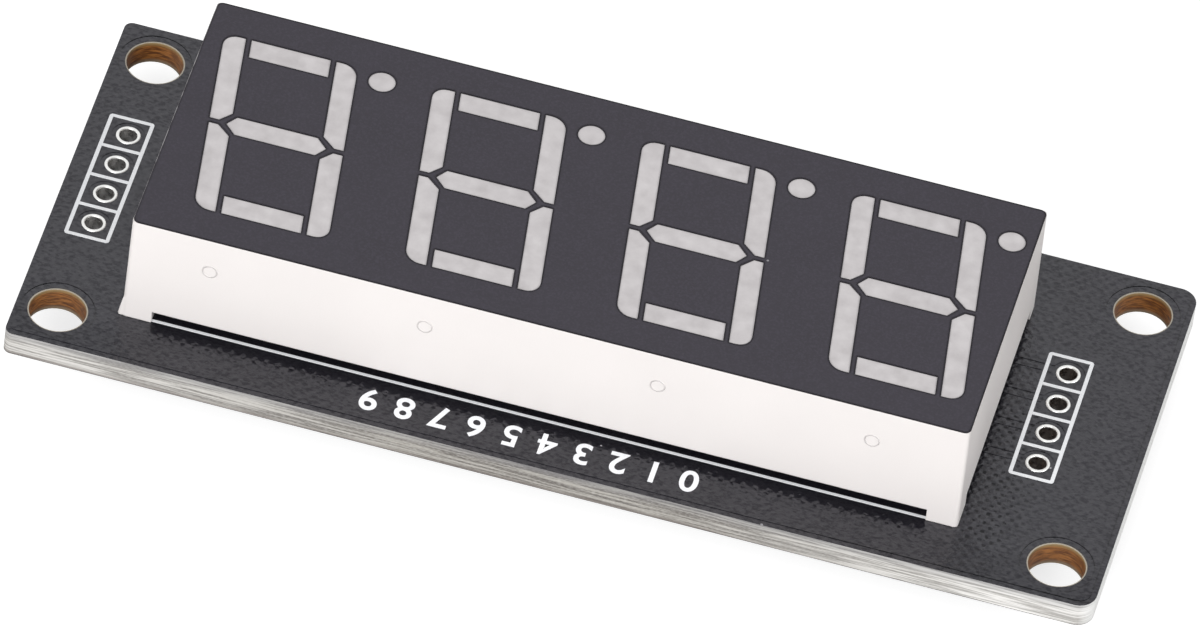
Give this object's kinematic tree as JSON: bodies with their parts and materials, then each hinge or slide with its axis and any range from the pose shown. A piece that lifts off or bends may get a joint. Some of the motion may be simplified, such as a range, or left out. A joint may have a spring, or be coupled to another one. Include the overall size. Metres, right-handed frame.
{
  "type": "seven segment display module",
  "caption": "Numeric display in a white housing with a charcoal face, soldered on a black driver board with corner mounting holes and a row of header holes at each end.",
  "frame": {"origin": "under the middle of the circuit board's plan, at the level of the driver chip's flat back, on which the module rests", "axes": "+X along the board towards the end whose header stands further in, +Y from the wide lower margin towards the decimal points, +Z out of the face"},
  "size_m": [0.0654, 0.027, 0.012],
  "materials": {
    "laminate": "woven glass laminate, sawn edge",
    "solder_mask": "satin black coating",
    "legend_ink": "printed white ink",
    "tin_plating": "bright tin",
    "housing_plastic": "moulded white, satin",
    "face_film": "matte charcoal print",
    "segment_epoxy": "diffuse cast epoxy",
    "carrier_laminate": "natural laminate",
    "led_die": "sawn crystal",
    "pin_metal": "tinned wire",
    "solder": "bright solder",
    "chip_plastic": "moulded, fine matte",
    "lead_metal": "tinned, formed",
    "capacitor_ceramic": "fired",
    "terminal_metal": "tinned",
    "resistor_ceramic": "fired",
    "resistor_glaze": "glazed"
  },
  "bodies": {
    "root": {"circuit_board": "laminate", "solder_mask_top": "solder_mask", "solder_mask_bottom": "solder_mask", "legend_ink_top": "legend_ink", "legend_ink_bottom": "legend_ink", "header_hole_plating": "tin_plating", "display_hole_plating": "tin_plating", "display_housing": "housing_plastic", "face_film": "face_film", "segment_epoxy": "segment_epoxy", "led_carrier_board": "carrier_laminate", "led_dies": "led_die", "display_pins": "pin_metal", "pin_solder_joints": "solder", "driver_chip": "chip_plastic", "driver_chip_leads": "lead_metal", "surface_pads": "tin_plating", "lead_solder": "solder", "filter_capacitors": "capacitor_ceramic", "filter_capacitor_terminals": "terminal_metal", "bulk_capacitor": "capacitor_ceramic", "bulk_capacitor_terminals": "terminal_metal", "pullup_resistors": "resistor_ceramic", "resistor_glaze": "resistor_glaze", "resistor_terminals": "terminal_metal"}
  },
  "joints": []
}
